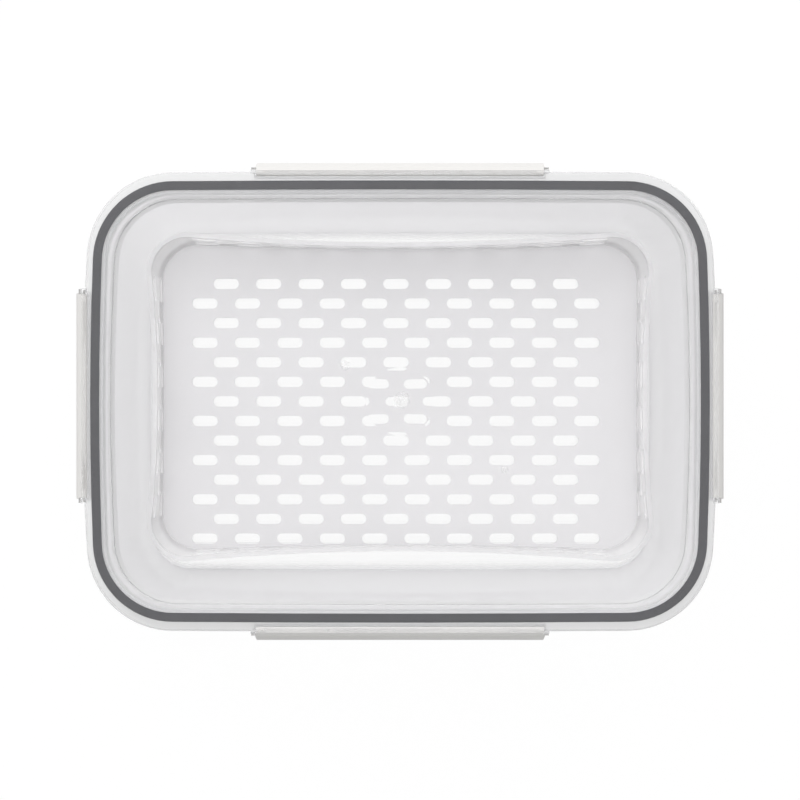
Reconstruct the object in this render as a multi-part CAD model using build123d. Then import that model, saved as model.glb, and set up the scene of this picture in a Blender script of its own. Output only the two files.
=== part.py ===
from build123d import *
import math
import os

# Sizes are in millimetres and degrees. X runs along the long side and Z = 0 is the surface it stands on

# Lid outline
lid_length = 240.8
lid_width = 174.4
lid_corner_radius = 32.6
end_bow_radius = 906.0
side_bow_radius = 11700.0

# Lid heights and walls
overall_height = 82.0
ridge_roof = 2.9
skirt_depth = 9.5
plug_depth = 7.0
plug_wall = 1.4
recess_length = 219.2
recess_width = 153.6
recess_corner_radius = 24.0
recess_depth = 5.2
recess_slant = 0.9
recess_wall = 1.4
panel_thickness = 1.8
ridge_round = 0.9
dimple_width = 26.0
dimple_sink = 0.35
gate_mark_width = 6.0
gate_mark_height = 0.25

# Seal ring
seal_length = 235.3
seal_width = 168.0
seal_corner_radius = 30.5
seal_end_bow_radius = 1450.0
seal_band = 3.5
seal_height = 2.9
seal_slack = 0.1
seal_groove_width = 1.3
seal_groove_depth = 0.9

# Container
rim_clearance = 0.4
rim_drop = 4.6
wall_thickness = 1.7
wall_draft = 10.0
floor_thickness = 2.2
inner_floor_round = 6.0
outer_floor_round = 7.0
foot_height = 1.2
foot_band = 4.0
ledge_drop = 9.8
ledge_thickness = 2.2
ledge_end_slope = 2.0

# Latches and their hinges
side_latch_length = 113.2
end_latch_length = 81.3
end_latch_shift = 2.1
hinge_inset = 0.5
hinge_drop = 1.3
barrel_radius = 1.3
barrel_clearance = 0.25
slot_ease = 0.3
pin_radius = 0.65
pin_play = 0.06
pin_reach = 3.0
bore_slack = 0.4
ear_width = 1.8
ear_gap = 0.3
plate_gap = 0.35
plate_thickness = 1.4
plate_shoulder = 1.4
hook_grip = 0.9
hook_play = 0.35
hook_slope = 56.0
hook_nose = 0.8
flare_drop = 14.0
lip_drop = 22.6
lip_reach = 6.4
lip_taper = 0.9
latch_round = 0.45

# Drain basket
basket_rim_length = 207.2
basket_rim_width = 135.6
basket_rim_side_bow = 6.0
basket_rim_end_bow = 4.7
basket_floor_length = 198.6
basket_floor_width = 129.6
basket_floor_side_bow = 2.4
basket_floor_end_bow = 0.4
basket_corner_radius = 16.0
basket_height = 32.6
basket_wall = 1.5
basket_rim_band = 1.8
basket_rim_height = 2.0
basket_floor_round = 2.0
basket_foot_height = 5.6
basket_foot_radius = 3.5
basket_foot_inset = 8.6
basket_shift = 1.85
basket_rest_gap = 0.1

# Basket slots
slot_length = 10.5
slot_width = 4.3
slot_pitch_x = 17.5
slot_pitch_y = 8.08
slot_rows = 14
slots_per_row = 10
slot_shift_x = -1.7
slot_shift_y = -5.9
wall_slot_rows = 3
wall_slot_pitch = 7.4
side_wall_slots = 10
end_wall_slots = 6

# Heights that follow
channel_roof = overall_height - ridge_roof
rim_top = channel_roof - seal_height - 2 * seal_slack
skirt_bottom = overall_height - skirt_depth
plug_bottom = channel_roof - plug_depth
panel_top = overall_height - recess_depth
panel_bottom = panel_top - panel_thickness
rim_bottom = rim_top - rim_drop
floor_top = foot_height + floor_thickness
hinge_height = overall_height - hinge_drop
ledge_top = rim_top - ledge_drop
ledge_bottom = ledge_top - ledge_thickness
basket_foot = floor_top + basket_rest_gap
basket_bottom = basket_foot + basket_foot_height
basket_top = basket_foot + basket_height
basket_floor_top = basket_bottom + basket_wall

# Sizes that follow
rim_inset = seal_band - rim_clearance
groove_radius = barrel_radius + barrel_clearance
plate_inner = hinge_inset + plate_gap
plate_outer = plate_inner + plate_thickness
barrel_end = ear_width + ear_gap
draft = math.tan(math.radians(wall_draft))
overcut = 1.0

# Each side's hinge axis: how far out it lies, the way it faces, the latch's length and its shift
sides = {
    "front": (lid_width / 2 - hinge_inset, -90, side_latch_length, 0.0),
    "back": (lid_width / 2 - hinge_inset, 90, side_latch_length, 0.0),
    "left": (lid_length / 2 - hinge_inset, 180, end_latch_length, -end_latch_shift),
    "right": (lid_length / 2 - hinge_inset, 0, end_latch_length, end_latch_shift),
}


# An outline is half a length, half a width, a corner radius and the two radii that its sides bow with
def bowed_out(length, width, corner, end_radius=end_bow_radius):
    return length / 2, width / 2, corner, end_radius, side_bow_radius


def bowed_in(length, width, corner, end_bow, side_bow):
    end_radius = -((width / 2) ** 2 + end_bow**2) / (2 * end_bow)
    side_radius = -((length / 2) ** 2 + side_bow**2) / (2 * side_bow)
    return length / 2 - end_bow, width / 2 - side_bow, corner, end_radius, side_radius


def bow_drop(radius, half_chord):
    return radius - math.copysign(math.sqrt(radius**2 - half_chord**2), radius)


def outline(shape, inset=0.0):
    half_x, half_y, corner, bow_x, bow_y = (size - inset for size in shape)
    corner_x = half_x
    corner_y = half_y
    for _ in range(8):
        corner_x = half_x - bow_drop(bow_x, corner_y)
        corner_y = half_y - bow_drop(bow_y, corner_x)
    with BuildSketch() as sketch:
        with BuildLine():
            ThreePointArc((corner_x, -corner_y), (half_x, 0), (corner_x, corner_y))
            ThreePointArc((corner_x, corner_y), (0, half_y), (-corner_x, corner_y))
            ThreePointArc((-corner_x, corner_y), (-half_x, 0), (-corner_x, -corner_y))
            ThreePointArc((-corner_x, -corner_y), (0, -half_y), (corner_x, -corner_y))
        make_face()
        fillet(sketch.vertices(), corner)
    return sketch.sketch


def prism(shape, inset, low, high):
    return Pos(0, 0, low) * extrude(outline(shape, inset), high - low)


def ring(shape, outer_inset, inner_inset, low, high):
    return prism(shape, outer_inset, low, high) - prism(shape, inner_inset, low, high)


def tapered(low_shape, low_inset, low, high_shape, high_inset, high):
    low_face = Pos(0, 0, low) * outline(low_shape, low_inset)
    high_face = Pos(0, 0, high) * outline(high_shape, high_inset)
    return loft([low_face.face(), high_face.face()], ruled=True)


def edges_at(solid, height):
    def is_level(edge):
        box = edge.bounding_box()
        return abs(box.min.Z - height) < 0.01 and abs(box.max.Z - height) < 0.01

    return solid.edges().filter_by(is_level)


def block(low, high):
    size = [far - near for near, far in zip(low, high)]
    return Pos(*low) * Box(*size, align=(Align.MIN, Align.MIN, Align.MIN))


# On a side, X points out from the hinge axis, Y runs along it and Z is up
def on_side(name):
    reach, turn, _, shift = sides[name]
    return Rot(0, 0, turn) * Pos(reach, shift, hinge_height)


def rod(radius, start, end):
    upright = Cylinder(radius, end - start, align=(Align.CENTER, Align.CENTER, Align.MIN))
    return Pos(0, start, 0) * Rot(-90, 0, 0) * upright


def both_ends(shape):
    return shape + mirror(shape, Plane.XZ)


lid_shape = bowed_out(lid_length, lid_width, lid_corner_radius)
seal_shape = bowed_out(seal_length, seal_width, seal_corner_radius, seal_end_bow_radius)
recess_shape = bowed_out(recess_length, recess_width, recess_corner_radius)
basket_rim_shape = bowed_in(
    basket_rim_length, basket_rim_width, basket_corner_radius, basket_rim_end_bow, basket_rim_side_bow)
basket_floor_shape = bowed_in(
    basket_floor_length, basket_floor_width, basket_corner_radius, basket_floor_end_bow,
    basket_floor_side_bow)


# Container
def catch_ledge(length):
    half = length / 2
    root = 3 * seal_band
    plan = Polyline(
        (0, -half + ledge_end_slope), (0, half - ledge_end_slope), (-ledge_end_slope, half),
        (-root, half), (-root, -half), (-ledge_end_slope, -half), close=True)
    return Pos(0, 0, ledge_bottom - hinge_height) * extrude(make_face(plan), ledge_thickness)


def make_container():
    outer_inset = rim_inset - wall_thickness
    foot_inset = outer_inset + rim_bottom * draft
    inner_floor_inset = rim_inset + (rim_bottom - floor_top) * draft
    body = tapered(seal_shape, foot_inset, 0, seal_shape, outer_inset, rim_bottom)
    body = fillet(edges_at(body, 0), outer_floor_round)
    body += prism(seal_shape, rim_clearance, rim_bottom, rim_top)
    for name in sides:
        body += on_side(name) * catch_ledge(sides[name][2])
    cavity = tapered(seal_shape, inner_floor_inset, floor_top, seal_shape, rim_inset, rim_bottom)
    cavity = fillet(edges_at(cavity, floor_top), inner_floor_round)
    body -= cavity + prism(seal_shape, rim_inset, rim_bottom, rim_top)
    return body - prism(seal_shape, foot_inset + outer_floor_round + foot_band, 0, foot_height)


# Lid, with its hinge ears and pins
def lid_shell():
    body = prism(lid_shape, 0, skirt_bottom, overall_height)
    body -= prism(seal_shape, 0, skirt_bottom, channel_roof)
    body += ring(seal_shape, seal_band, seal_band + plug_wall, plug_bottom, channel_roof)
    body += tapered(
        recess_shape, recess_slant - recess_wall, panel_bottom, recess_shape, -recess_wall, channel_roof)
    body -= tapered(recess_shape, recess_slant, panel_top, recess_shape, 0, overall_height)
    return fillet(edges_at(body, overall_height), ridge_round)


def gate_dimple():
    radius = (dimple_width**2 / 4 + dimple_sink**2) / (2 * dimple_sink)
    return Pos(0, 0, panel_top - dimple_sink + radius) * Sphere(radius)


def gate_mark():
    low = panel_top - dimple_sink - panel_thickness / 4
    high = panel_top - dimple_sink + gate_mark_height
    return Pos(0, 0, low) * Cylinder(
        gate_mark_width / 2, high - low, align=(Align.CENTER, Align.CENTER, Align.MIN))


def hinge_slot(length):
    half = length / 2
    above = hinge_drop + overcut
    corner_cut = block((0, -half, -groove_radius), (lip_reach, half, above))
    top_cut = block((-groove_radius - slot_ease, -half, 0), (lip_reach, half, above))
    return corner_cut + top_cut + rod(groove_radius, -half, half)


def hinge_ears(length):
    start = length / 2 - ear_width
    foot = groove_radius + ear_gap
    root = groove_radius + slot_ease + overcut
    ear = block((-root, start, 0), (0, length / 2, barrel_radius))
    ear += block((-foot, start, -foot), (0, length / 2, 0))
    ear += rod(barrel_radius, start, length / 2)
    ear += rod(pin_radius, start - pin_reach, start)
    return both_ends(ear)


def make_lid():
    body = lid_shell() - gate_dimple() + gate_mark()
    for name in sides:
        length = sides[name][2]
        body -= on_side(name) * hinge_slot(length)
        body += on_side(name) * hinge_ears(length)
    return body


def make_seal():
    low = rim_top + seal_slack
    groove_inset = (seal_band - seal_groove_width) / 2
    band = ring(seal_shape, seal_slack, seal_band - seal_slack, low, low + seal_height)
    return band - ring(seal_shape, groove_inset, seal_band - groove_inset, low, low + seal_groove_depth)


# Latches
def latch_profile():
    lean = math.atan2(lip_reach - plate_outer, lip_drop - flare_drop)
    inner_bend = flare_drop + plate_thickness * math.tan(lean / 2)
    lip_inner = lip_reach - plate_thickness * math.cos(lean)
    lip_low = lip_drop + plate_thickness * math.sin(lean)
    plate = make_face(Polyline(
        (0, 0), (0, barrel_radius), (plate_outer - plate_shoulder, barrel_radius),
        (plate_outer, barrel_radius - plate_shoulder), (plate_outer, -flare_drop),
        (lip_reach, -lip_drop), (lip_inner, -lip_low), (plate_inner, -inner_bend), (plate_inner, 0),
        close=True))
    slope = math.tan(math.radians(hook_slope))
    hook_root = ledge_bottom - hinge_height - hook_play
    nose = hook_root - hook_grip * slope
    low_root = nose - hook_nose
    low_inner = plate_inner + (-low_root - inner_bend) * math.tan(lean)
    middle = (plate_inner + plate_outer) / 2
    hook = make_face(Polyline(
        (-hook_grip, nose), (-hook_grip + hook_nose / 4, low_root),
        (low_inner + plate_thickness / 2, low_root), (middle, hook_root + middle * slope),
        close=True))
    lip = plate.vertices().filter_by(lambda corner: corner.Y < -lip_drop + overcut)
    shoulder = plate.vertices().filter_by(lambda corner: corner.X > 0 and corner.Y > 0)
    plate = fillet(lip + shoulder, latch_round)
    return plate + hook + Circle(barrel_radius)


def make_latch(length):
    half = length / 2
    profile = Plane.XZ * latch_profile()
    body = extrude(profile, half, both=True)
    notch_floor = -groove_radius - ear_gap
    notch = block((-lip_reach, half - barrel_end, notch_floor), (lip_reach, half + overcut, lip_reach))
    low = -lip_drop - plate_thickness
    wedge = Plane.YZ * make_face(Polyline(
        (half, -flare_drop), (half + overcut, -flare_drop), (half + overcut, low),
        (half - lip_taper, low), close=True))
    end_cut = notch + Pos(-lip_reach, 0, 0) * extrude(wedge, 3 * lip_reach)
    bore_start = half - ear_width - pin_reach - bore_slack
    end_cut += rod(pin_radius + pin_play, bore_start, half)
    return body - both_ends(end_cut)


# Drain basket
def slot_rows_at(rows, per_row, row_pitch):
    # every other row has one slot fewer, so that the rows are staggered
    spots = []
    for row in range(rows):
        count = per_row - row % 2
        for number in range(count):
            x = (number - (count - 1) / 2) * slot_pitch_x
            y = (row - (rows - 1) / 2) * row_pitch
            spots.append(Pos(x, y) * SlotOverall(slot_length, slot_width))
    return Sketch() + spots


def basket_shell():
    top_inset = basket_rim_band - basket_wall
    outer = tapered(
        basket_floor_shape, 0, basket_bottom, basket_rim_shape, top_inset, basket_top)
    outer = fillet(edges_at(outer, basket_bottom), basket_floor_round)
    outer += prism(basket_rim_shape, 0, basket_top - basket_rim_height, basket_top)
    cavity = tapered(
        basket_floor_shape, basket_wall, basket_floor_top, basket_rim_shape, basket_rim_band, basket_top)
    return outer - cavity


def basket_feet():
    x = basket_floor_length / 2 - basket_foot_inset
    y = basket_floor_width / 2 - basket_foot_inset
    foot = Cylinder(
        basket_foot_radius, basket_floor_top - basket_foot, align=(Align.CENTER, Align.CENTER, Align.MIN))
    return [Pos(x * side, y * end, basket_foot) * foot for side in (-1, 1) for end in (-1, 1)]


def make_basket():
    body = basket_shell() + basket_feet()
    floor_slots = slot_rows_at(slot_rows, slots_per_row, slot_pitch_y)
    slot_depth = basket_floor_top - basket_foot + overcut
    body -= Pos(slot_shift_x, slot_shift_y, basket_foot) * extrude(floor_slots, slot_depth)
    wall_middle = (basket_floor_top + basket_top - basket_rim_height) / 2
    side_slots = slot_rows_at(wall_slot_rows, side_wall_slots, wall_slot_pitch)
    end_slots = slot_rows_at(wall_slot_rows, end_wall_slots, wall_slot_pitch)
    up = Pos(0, 0, wall_middle)
    body -= up * extrude(Plane.XZ * side_slots, basket_rim_width, both=True)
    body -= up * extrude(Plane.YZ * end_slots, basket_rim_length, both=True)
    return Pos(0, basket_shift, 0) * body


os.makedirs("parts", exist_ok=True)
nodes = {
    "container": make_container(),
    "drain_basket": make_basket(),
    "lid": make_lid(),
    "lid_gasket": make_seal(),
}
for name in sides:
    nodes["latch_" + name] = on_side(name) * make_latch(sides[name][2])

for name, node in nodes.items():
    export_step(node, os.path.join("parts", name + ".step"))
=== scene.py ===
import bpy
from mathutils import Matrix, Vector

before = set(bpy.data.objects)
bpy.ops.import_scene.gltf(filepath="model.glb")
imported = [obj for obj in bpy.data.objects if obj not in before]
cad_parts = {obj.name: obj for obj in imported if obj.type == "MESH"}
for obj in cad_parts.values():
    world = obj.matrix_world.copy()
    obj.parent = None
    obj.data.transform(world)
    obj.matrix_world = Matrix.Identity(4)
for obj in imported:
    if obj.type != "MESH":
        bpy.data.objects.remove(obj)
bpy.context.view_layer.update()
print("frame loaded:", ", ".join(sorted(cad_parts)))


# small helpers for node trees and for the frame's pieces

def addNode(tree, kind, **settings):
    node = tree.nodes.new(kind)
    for name, value in settings.items():
        setattr(node, name, value)
    return node


def setInputs(node, **values):
    for name, value in values.items():
        node.inputs[name.replace("_", " ")].default_value = value
    return node


def newMaterial(name):
    material = bpy.data.materials.new(name)
    material.use_nodes = True
    material.node_tree.nodes.clear()
    return material


def finishMaterial(material, shader):
    tree = material.node_tree
    output = addNode(tree, "ShaderNodeOutputMaterial")
    tree.links.new(shader.outputs[0], output.inputs["Surface"])
    return material


def noiseAt(tree, scale, detail=3.0, roughness=0.5, stretch=(1, 1, 1)):
    # noise in object space, in features per metre
    place = addNode(tree, "ShaderNodeTexCoord")
    mapping = addNode(tree, "ShaderNodeMapping")
    mapping.inputs["Scale"].default_value = stretch
    tree.links.new(place.outputs["Object"], mapping.inputs["Vector"])
    noise = addNode(tree, "ShaderNodeTexNoise")
    setInputs(noise, Scale=scale, Detail=detail, Roughness=roughness)
    tree.links.new(mapping.outputs[0], noise.inputs["Vector"])
    return noise.outputs["Fac"]


def spread(tree, value, low, high, fromLow=0.3, fromHigh=0.7):
    # noise hardly leaves 0.3 to 0.7, so that is the usual range that is spread
    node = addNode(tree, "ShaderNodeMapRange")
    setInputs(node, From_Min=fromLow, From_Max=fromHigh, To_Min=low, To_Max=high)
    tree.links.new(value, node.inputs["Value"])
    return node.outputs[0]


def layerAt(tree, heights, below, above):
    # one value below the lower height, another above the upper one
    place = addNode(tree, "ShaderNodeTexCoord")
    parts = addNode(tree, "ShaderNodeSeparateXYZ")
    tree.links.new(place.outputs["Object"], parts.inputs[0])
    return spread(tree, parts.outputs["Z"], below, above, *heights)


def bumpOf(tree, height, strength, distance, under=None):
    bump = addNode(tree, "ShaderNodeBump")
    setInputs(bump, Strength=strength, Distance=distance)
    tree.links.new(height, bump.inputs["Height"])
    if under:
        tree.links.new(under, bump.inputs["Normal"])
    return bump.outputs[0]


def mixShaders(tree, factor, first, second):
    mix = addNode(tree, "ShaderNodeMixShader")
    if isinstance(factor, float):
        mix.inputs[0].default_value = factor
    else:
        tree.links.new(factor, mix.inputs[0])
    tree.links.new(first.outputs[0], mix.inputs[1])
    tree.links.new(second.outputs[0], mix.inputs[2])
    return mix


def mixColours(tree, factor, first, second):
    mix = addNode(tree, "ShaderNodeMix", data_type="RGBA")
    tree.links.new(factor, mix.inputs["Factor"])
    for socket, colour in (("A", first), ("B", second)):
        if isinstance(colour, tuple):
            mix.inputs[socket].default_value = (*colour, 1)
        else:
            tree.links.new(colour, mix.inputs[socket])
    return mix.outputs["Result"]


def lighter(colour, times):
    return tuple(min(1, part * times) for part in colour)


def timesValue(tree, value, times):
    product = addNode(tree, "ShaderNodeMath", operation="MULTIPLY")
    product.inputs[1].default_value = times
    tree.links.new(value, product.inputs[0])
    return product.outputs[0]


def anyOf(tree, *values):
    total = values[0]
    for value in values[1:]:
        largest = addNode(tree, "ShaderNodeMath", operation="MAXIMUM")
        tree.links.new(total, largest.inputs[0])
        tree.links.new(value, largest.inputs[1])
        total = largest.outputs[0]
    return total


def letLightBy(tree, body, share, tint):
    # lamps and scattered light pass straight through
    rays = addNode(tree, "ShaderNodeLightPath")
    through = addNode(tree, "ShaderNodeBsdfTransparent")
    setInputs(through, Color=(*tint, 1))
    soft = anyOf(tree, rays.outputs["Is Shadow Ray"], rays.outputs["Is Diffuse Ray"])
    return mixShaders(tree, timesValue(tree, soft, share), body, through)


def paint(name, material):
    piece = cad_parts[name]
    piece.data.materials.clear()
    piece.data.materials.append(material)


def heightsOf(name):
    # a piece's lowest and highest point, to a hundredth of a millimetre
    levels = [vertex.co.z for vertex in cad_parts[name].data.vertices]
    return round(min(levels), 5), round(max(levels), 5)


# clear plastic: what the box, the lid and the latches share

clearPlastic = {
    "ior": 1.49,
    "roughness": (0.0, 0.025),
    "patchScale": 30.0,             # polished and duller patches
    "waveScale": 14.0,              # slow waviness left by the mould
    "waveStrength": 0.6,
    "waveDepth": 0.00005,
    "scuffScale": 420.0,            # fine rubbing marks, drawn out one way
    "scuffStretch": (1, 0.35, 1),
    "scuffStrength": 0.5,
    "scuffDepth": 0.000002,
    "bloomPatches": (0.6, 1.4),     # how far the patches change the bloom
    "edgeRange": (0.04, 0.5),       # how far a surface turns away while the edge bloom grows
    "throughTint": (0.97, 0.97, 0.975),     # of the light that passes straight through
}

# the bloom is the light that the plastic scatters: how much of it is seen face on and edge on, its
# colour, and how much of it comes from behind
box = {
    "tint": (0.999, 0.999, 1.0),
    "bloomFaceOn": 0.006,
    "bloomEdgeOn": 0.5,
    "bloomColour": (0.95, 0.94, 0.96),
    "bloomFromBehind": 0.5,
}

lid = {
    "tint": (1.0, 1.0, 1.0),
    "bloomFaceOn": 0.005,
    "bloomEdgeOn": 0.5,
    "bloomColour": (0.93, 0.93, 0.93),
    "bloomFromBehind": 0.3,
    "partingBloom": 0.6,                # along the mould's parting edge, low on the lid's skirt
    "partingRise": (0.0004, 0.0014),    # above the lid's lowest point, where it fades out
    "marks": (
        # rubbed spots: place on the lid, radius, strength
        ((0.0008, 0.0006), 0.0034, 0.75),
        ((-0.0209, 0.0139), 0.0022, 0.35),
        ((0.0399, -0.0260), 0.0018, 0.30),
    ),
    "markSolid": 0.4,                   # share of the radius before a spot fades
    "markGrain": 1.6,                   # grains of a spot's torn look to its radius
    "markTorn": (0.42, 0.56),
}

latches = {
    "tint": (0.995, 0.995, 0.99),
    "bloomFaceOn": 0.36,
    "bloomEdgeOn": 1.0,
    "bloomColour": (0.75, 0.74, 0.725),
    "bloomFromBehind": 0.15,
}


def markAt(tree, place, radius, strength):
    coordinates = addNode(tree, "ShaderNodeTexCoord")
    flat = addNode(tree, "ShaderNodeVectorMath", operation="MULTIPLY")
    flat.inputs[1].default_value = (1, 1, 0)
    tree.links.new(coordinates.outputs["Object"], flat.inputs[0])
    away = addNode(tree, "ShaderNodeVectorMath", operation="DISTANCE")
    away.inputs[1].default_value = (*place, 0)
    tree.links.new(flat.outputs[0], away.inputs[0])
    near = spread(tree, away.outputs["Value"], strength, 0.0, radius * lid["markSolid"], radius)
    grain = noiseAt(tree, lid["markGrain"] / radius, roughness=0.6)
    torn = spread(tree, grain, 0.0, 1.0, *lid["markTorn"])
    both = addNode(tree, "ShaderNodeMath", operation="MULTIPLY")
    tree.links.new(near, both.inputs[0])
    tree.links.new(torn, both.inputs[1])
    return both.outputs[0]


def makeClear(name, look):
    material = newMaterial(name)
    tree = material.node_tree
    glass = addNode(tree, "ShaderNodeBsdfPrincipled")
    setInputs(glass, Base_Color=(*look["tint"], 1), IOR=clearPlastic["ior"])
    setInputs(glass, Transmission_Weight=1.0)
    patches = noiseAt(tree, clearPlastic["patchScale"])
    roughness = spread(tree, patches, *clearPlastic["roughness"])
    tree.links.new(roughness, glass.inputs["Roughness"])
    waves = noiseAt(tree, clearPlastic["waveScale"], detail=1.0)
    slow = bumpOf(tree, waves, clearPlastic["waveStrength"], clearPlastic["waveDepth"])
    stretch = clearPlastic["scuffStretch"]
    scuffs = noiseAt(tree, clearPlastic["scuffScale"], detail=4.0, roughness=0.6, stretch=stretch)
    fine = bumpOf(tree, scuffs, clearPlastic["scuffStrength"], clearPlastic["scuffDepth"], slow)
    tree.links.new(fine, glass.inputs["Normal"])

    scatter = addNode(tree, "ShaderNodeBsdfDiffuse")
    passed = addNode(tree, "ShaderNodeBsdfTranslucent")
    for shader in (scatter, passed):
        setInputs(shader, Color=(*look["bloomColour"], 1))
    cloud = mixShaders(tree, look["bloomFromBehind"], scatter, passed)
    edge = addNode(tree, "ShaderNodeLayerWeight")
    setInputs(edge, Blend=0.5)
    turning = clearPlastic["edgeRange"]
    edgeOn = spread(tree, edge.outputs["Facing"], 0.0, look["bloomEdgeOn"], *turning)
    patchBlooms = [look["bloomFaceOn"] * part for part in clearPlastic["bloomPatches"]]
    faceOn = spread(tree, patches, *patchBlooms)
    bloom = addNode(tree, "ShaderNodeMath", operation="ADD", use_clamp=True)
    tree.links.new(edgeOn, bloom.inputs[0])
    tree.links.new(faceOn, bloom.inputs[1])
    extras = [markAt(tree, *mark) for mark in look.get("marks", ())]
    if "partingBloom" in look:
        lowest = heightsOf("lid")[0]
        fading = [lowest + rise for rise in look["partingRise"]]
        extras.append(layerAt(tree, fading, look["partingBloom"], 0.0))
    body = mixShaders(tree, anyOf(tree, bloom.outputs[0], *extras), glass, cloud)
    return finishMaterial(material, letLightBy(tree, body, 1.0, clearPlastic["throughTint"]))


# milky plastic: the drain basket; its walls are painted lighter than its floor to cancel the shade
# that falls on them, and its rim is painted lighter as a painted highlight

basket = {
    "ior": 1.49,
    "floorColour": (0.79, 0.78, 0.788),
    # painted light: the walls' colour is lighter than the floor's to cancel the shade that falls
    # on them
    "paintedWallLight": (0.98, 0.97, 0.975),
    # painted highlight: the rim's colour is lighter than the floor's to stand in for the light it
    # catches
    "paintedRimHighlight": (0.84, 0.83, 0.838),
    "wallRise": (0.0071, 0.0095),       # above its feet, where its floor's colour ends and the walls' painted lighter colour begins
    "rimDrop": (0.0023, 0.0019),        # below its top, where the rim's painted highlight begins
    "wallClearness": 0.5,               # how far one sees through the walls
    "fromBehind": 0.08,                 # how much light comes through from behind
    "throughShare": 0.6,                # how much soft light passes straight through
    "throughTint": (0.95, 0.95, 0.95),
    "roughness": (0.28, 0.42),
    "cloudScale": 22.0,
    "cloudChange": 1.03,
    "grainScale": 900.0,
    "grainStrength": 0.25,
    "grainDepth": 0.00002,
}


def makeMilky():
    material = newMaterial("milkyPlastic")
    tree = material.node_tree
    skin = addNode(tree, "ShaderNodeBsdfPrincipled")
    setInputs(skin, IOR=basket["ior"])
    clouds = noiseAt(tree, basket["cloudScale"], detail=2.0)
    floor = basket["floorColour"]
    cloudy = spread(tree, clouds, 0.0, 1.0)
    clouded = mixColours(tree, cloudy, floor, lighter(floor, basket["cloudChange"]))
    foot, top = heightsOf("drain_basket")
    paintedLightAndClearWalls = layerAt(tree, [foot + rise for rise in basket["wallRise"]], 0.0, 1.0)
    paintedRimHighlightMask = layerAt(tree, [top - drop for drop in basket["rimDrop"]], 0.0, 1.0)
    # painted light: the walls are lightened to cancel their shade; the same mask also sets how far
    # one sees through them
    wallsPaintedLighter = mixColours(tree, paintedLightAndClearWalls, clouded, basket["paintedWallLight"])
    # painted highlight: the rim is lightened where it catches light
    colour = mixColours(tree, paintedRimHighlightMask, wallsPaintedLighter, basket["paintedRimHighlight"])
    tree.links.new(colour, skin.inputs["Base Color"])
    tree.links.new(spread(tree, clouds, *basket["roughness"]), skin.inputs["Roughness"])
    grain = noiseAt(tree, basket["grainScale"], detail=2.0)
    grained = bumpOf(tree, grain, basket["grainStrength"], basket["grainDepth"])
    tree.links.new(grained, skin.inputs["Normal"])
    passed = addNode(tree, "ShaderNodeBsdfTranslucent")
    tree.links.new(colour, passed.inputs["Color"])
    milk = mixShaders(tree, basket["fromBehind"], skin, passed)
    through = addNode(tree, "ShaderNodeBsdfTransparent")
    body = mixShaders(tree, timesValue(tree, paintedLightAndClearWalls, basket["wallClearness"]), milk, through)
    thin = letLightBy(tree, body, basket["throughShare"], basket["throughTint"])
    return finishMaterial(material, thin)


# silicone: the seal ring, a little dusty

seal = {
    "ior": 1.41,
    "colour": (0.056, 0.056, 0.062),
    "roughness": (0.42, 0.6),
    "dustScale": 60.0,
    "dustRange": (0.45, 0.8),
    "dustChange": 1.25,
    "grainScale": 1400.0,
    "grainStrength": 0.3,
    "grainDepth": 0.00003,
}


def makeSilicone():
    material = newMaterial("greySilicone")
    tree = material.node_tree
    skin = addNode(tree, "ShaderNodeBsdfPrincipled")
    setInputs(skin, IOR=seal["ior"])
    dust = noiseAt(tree, seal["dustScale"], detail=5.0, roughness=0.65)
    clean = seal["colour"]
    dusty = spread(tree, dust, 0.0, 1.0, *seal["dustRange"])
    colour = mixColours(tree, dusty, clean, lighter(clean, seal["dustChange"]))
    tree.links.new(colour, skin.inputs["Base Color"])
    tree.links.new(spread(tree, dust, *seal["roughness"]), skin.inputs["Roughness"])
    grain = noiseAt(tree, seal["grainScale"], detail=2.0)
    grained = bumpOf(tree, grain, seal["grainStrength"], seal["grainDepth"])
    tree.links.new(grained, skin.inputs["Normal"])
    return finishMaterial(material, skin)


paint("container", makeClear("clearBox", box))
paint("lid", makeClear("clearLid", lid))
latchClear = makeClear("clearLatch", latches)
for side in ("front", "back", "left", "right"):
    paint("latch_" + side, latchClear)
paint("drain_basket", makeMilky())
paint("lid_gasket", makeSilicone())
print("materials made")


# surroundings: a white table under even studio light, a little stronger from the back

studio = {
    "tableSize": 6.0,
    "tableDrop": 0.0002,    # keeps the table's face clear of the foot's
    "tableWhite": 0.94,
    "shadowShare": 0.07,    # how much of the table's brightness comes from the lamps
    "zenith": 0.97,
    "horizon": 0.72,
    "fromBack": 0.5,        # more light from the back, less from the front
    "fromLeft": 0.17,
    "lamps": (
        # place, size, power
        ((-0.2, 0.9, 1.3), 1.2, 12.0),
        ((0.0, -0.3, 1.7), 1.6, 5.0),
    ),
}


def makeTable():
    half = studio["tableSize"] / 2
    mesh = bpy.data.meshes.new("table")
    corners = [(-half, -half, 0), (half, -half, 0), (half, half, 0), (-half, half, 0)]
    mesh.from_pydata(corners, [], [(0, 1, 2, 3)])
    table = bpy.data.objects.new("table", mesh)
    table.location.z = -studio["tableDrop"]
    bpy.context.scene.collection.objects.link(table)
    material = newMaterial("tableTop")
    tree = material.node_tree
    lit = addNode(tree, "ShaderNodeBsdfDiffuse")
    setInputs(lit, Color=(*[studio["tableWhite"]] * 3, 1))
    glow = addNode(tree, "ShaderNodeEmission")
    setInputs(glow, Color=(1, 1, 1, 1), Strength=1.0)
    rays = addNode(tree, "ShaderNodeLightPath")
    direct = timesValue(tree, rays.outputs["Is Camera Ray"], 1 - studio["shadowShare"])
    seen = anyOf(tree, direct, rays.outputs["Is Glossy Ray"], rays.outputs["Is Transmission Ray"])
    finishMaterial(material, mixShaders(tree, seen, lit, glow))
    mesh.materials.append(material)


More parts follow.
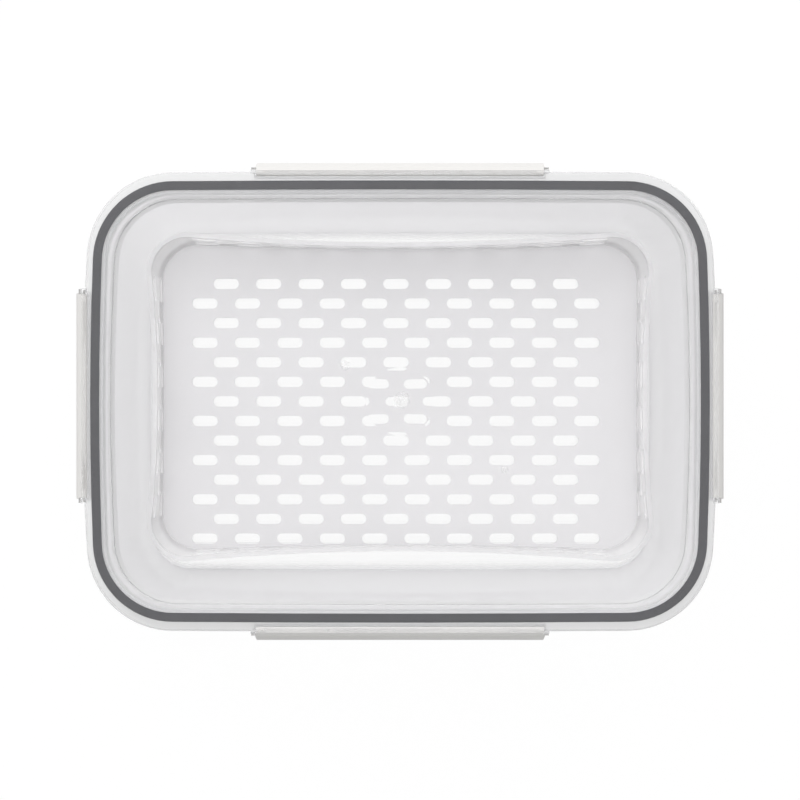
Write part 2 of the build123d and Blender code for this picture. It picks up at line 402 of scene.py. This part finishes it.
def makeWorld():
    world = bpy.data.worlds.new("studio")
    bpy.context.scene.world = world
    world.use_nodes = True
    tree = world.node_tree
    tree.nodes.clear()
    place = addNode(tree, "ShaderNodeTexCoord")
    parts = addNode(tree, "ShaderNodeSeparateXYZ")
    tree.links.new(place.outputs["Generated"], parts.inputs[0])
    level = spread(tree, parts.outputs["Z"], studio["horizon"], studio["zenith"], 0.0, 1.0)
    for axis, more in (("Y", studio["fromBack"]), ("X", -studio["fromLeft"])):
        leaning = addNode(tree, "ShaderNodeMath", operation="MULTIPLY_ADD")
        tree.links.new(parts.outputs[axis], leaning.inputs[0])
        leaning.inputs[1].default_value = more
        tree.links.new(level, leaning.inputs[2])
        level = leaning.outputs[0]
    soft = addNode(tree, "ShaderNodeBackground")
    tree.links.new(level, soft.inputs["Strength"])
    plain = addNode(tree, "ShaderNodeBackground")
    rays = addNode(tree, "ShaderNodeLightPath")
    mix = mixShaders(tree, rays.outputs["Is Camera Ray"], soft, plain)
    output = addNode(tree, "ShaderNodeOutputWorld")
    tree.links.new(mix.outputs[0], output.inputs["Surface"])


def makeLamps():
    for number, (place, size, power) in enumerate(studio["lamps"]):
        light = bpy.data.lights.new(f"softbox{number}", "AREA")
        light.shape = "SQUARE"
        light.size = size
        light.energy = power
        lamp = bpy.data.objects.new(light.name, light)
        lamp.location = place
        lamp.rotation_euler = (-Vector(place)).to_track_quat("-Z", "Y").to_euler()
        lamp.visible_glossy = False
        lamp.visible_transmission = False
        bpy.context.scene.collection.objects.link(lamp)


makeTable()
makeWorld()
makeLamps()
print("studio made")


# camera: straight down over the middle of the lid

view = {
    "imageSize": 800,
    "millimetrePerPixel": 0.38,     # at the height of the seal ring's top
    "distance": 0.8,                # above it, in metres
    "middlePixel": (400.0, 401.5),  # where the middle of the lid lies in the photograph
    "sensor": 36.0,                 # in millimetres
}


def makeCamera():
    metrePerPixel = view["millimetrePerPixel"] / 1000
    camera = bpy.data.cameras.new("overhead")
    camera.sensor_width = view["sensor"]
    camera.lens = view["sensor"] * view["distance"] / (view["imageSize"] * metrePerPixel)
    holder = bpy.data.objects.new("overhead", camera)
    half = view["imageSize"] / 2
    across, down = view["middlePixel"]
    holder.location = (
        (half - across) * metrePerPixel,
        (down - half) * metrePerPixel,
        heightsOf("lid_gasket")[1] + view["distance"],
    )
    bpy.context.scene.collection.objects.link(holder)
    bpy.context.scene.camera = holder


makeCamera()
bpy.context.scene.view_settings.view_transform = "Standard"
print("camera placed")
